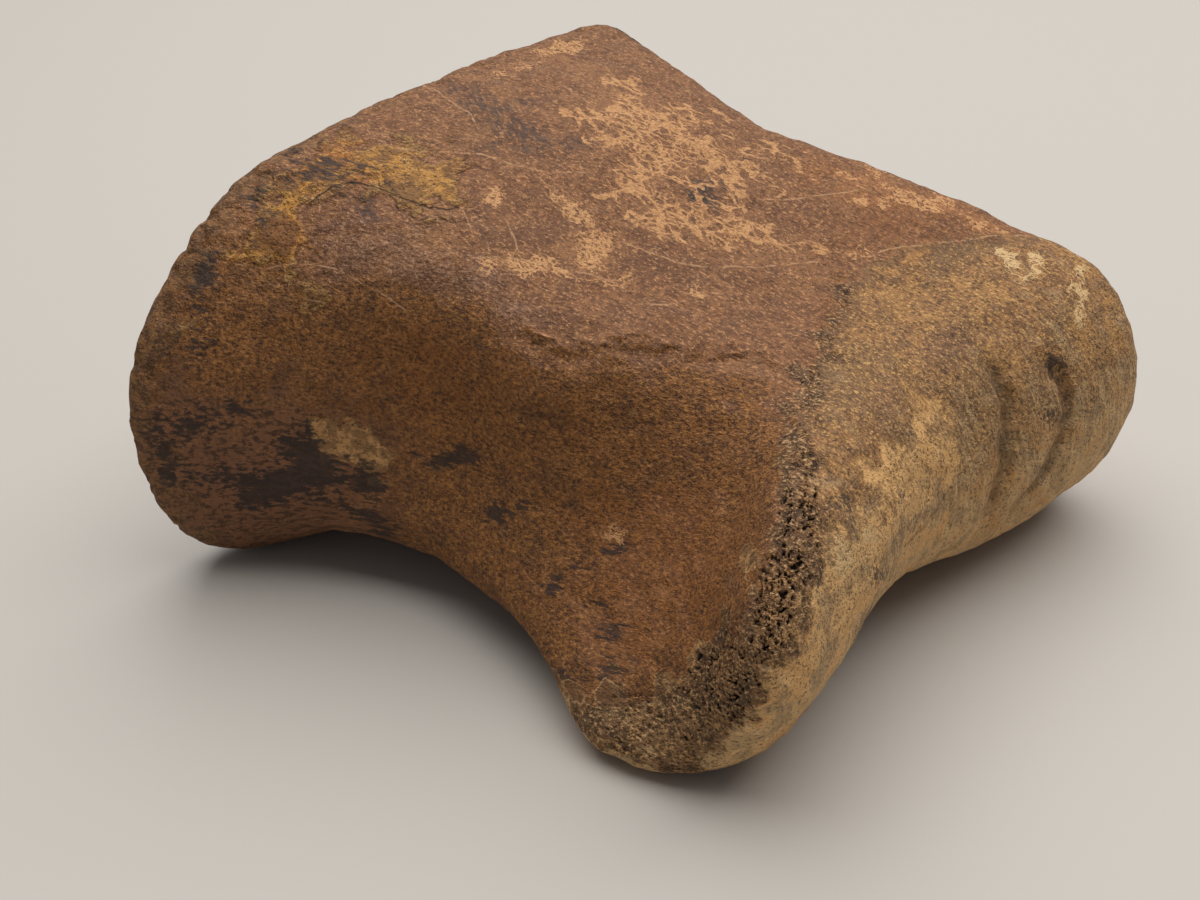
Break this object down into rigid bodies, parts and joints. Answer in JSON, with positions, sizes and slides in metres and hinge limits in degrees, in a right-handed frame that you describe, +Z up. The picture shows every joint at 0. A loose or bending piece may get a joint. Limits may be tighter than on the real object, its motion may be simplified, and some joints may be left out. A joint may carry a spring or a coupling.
{
  "type": "fossil hadrosaur toe bone",
  "caption": "Fossil toe bone of a duck-billed dinosaur: a short, broad, waisted phalanx with a dished joint face behind and a grooved double-condyle joint ahead, lying sole down.",
  "frame": {"origin": "middle of the bounding box in plan, at the ground that the bone lies on", "axes": "+X from the dished ankle-side joint face toward the grooved toe-side joint, +Y toward the side away from the viewer of the picture, +Z up from the sole side to the dorsal side"},
  "size_m": [0.125, 0.1378, 0.0746],
  "materials": {
    "fossil_bone": "matt to silky permineralised bone: mauve-brown, rust and tan, with dark mineral stains, cream veins and worn porous edges"
  },
  "bodies": {
    "root": {"toe_bone": "fossil_bone"}
  },
  "joints": []
}
